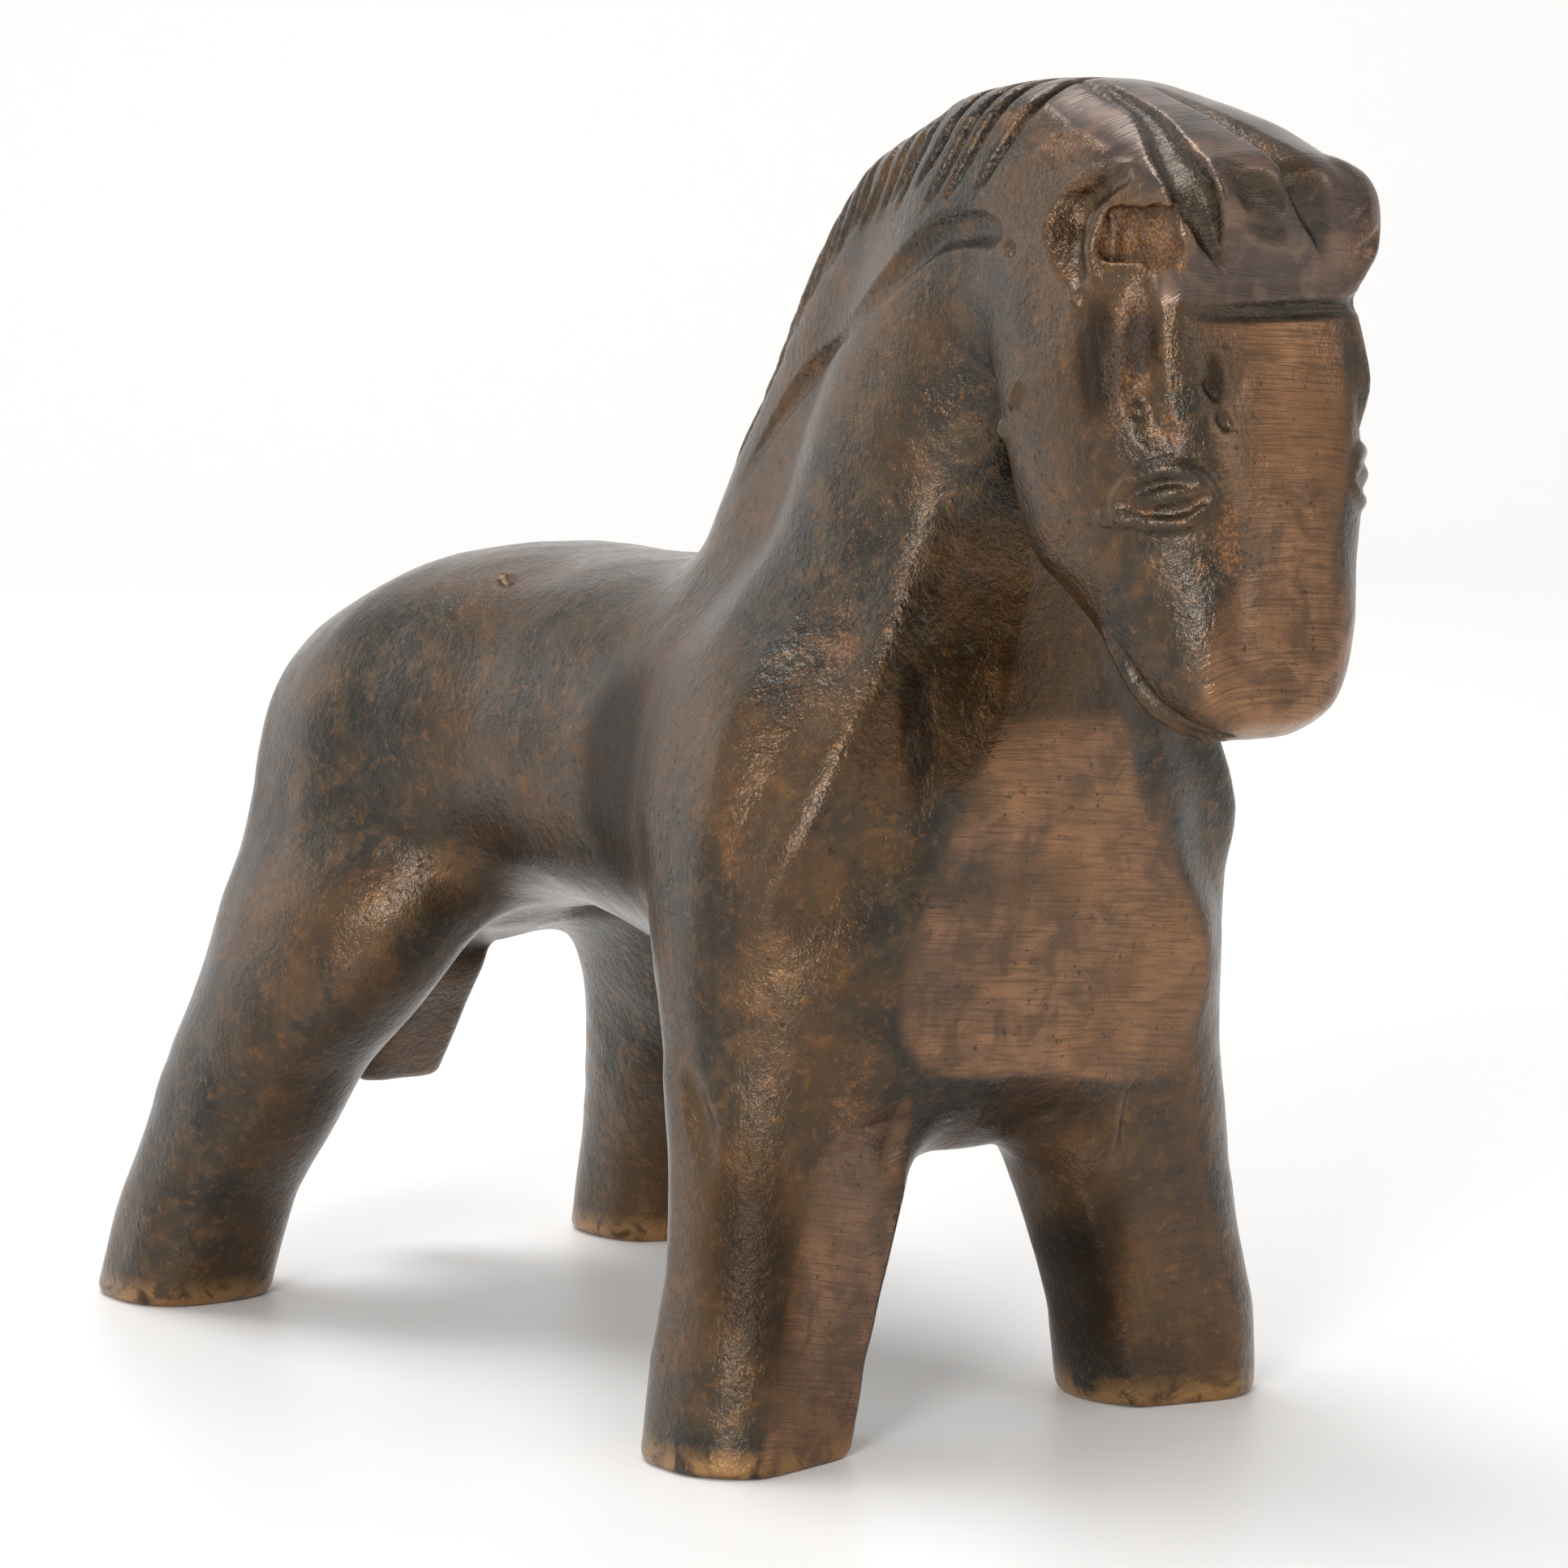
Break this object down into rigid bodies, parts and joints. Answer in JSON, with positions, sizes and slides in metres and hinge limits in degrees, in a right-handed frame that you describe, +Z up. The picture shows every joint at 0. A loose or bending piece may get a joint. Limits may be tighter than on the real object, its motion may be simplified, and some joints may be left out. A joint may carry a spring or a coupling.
{
  "type": "horse figurine",
  "caption": "Small solid-cast standing horse with a thick neck, cut mane, forelock cap, short legs on flat-cut feet and a docked slab tail.",
  "frame": {"origin": "on the ground, under the middle of the overall length and width", "axes": "+Z up, the horse faces -Y, its right side is -X"},
  "size_m": [0.0624, 0.1218, 0.1],
  "materials": {
    "bronze": "cast and filed bronze under a dark brown patina"
  },
  "bodies": {
    "root": {"body": "bronze", "ear_left": "bronze", "ear_right": "bronze", "eye_left": "bronze", "eye_right": "bronze", "foreleg_left": "bronze", "foreleg_right": "bronze", "forelock": "bronze", "head": "bronze", "hind_leg_left": "bronze", "hind_leg_right": "bronze", "mane": "bronze", "neck": "bronze", "tail": "bronze"}
  },
  "joints": []
}
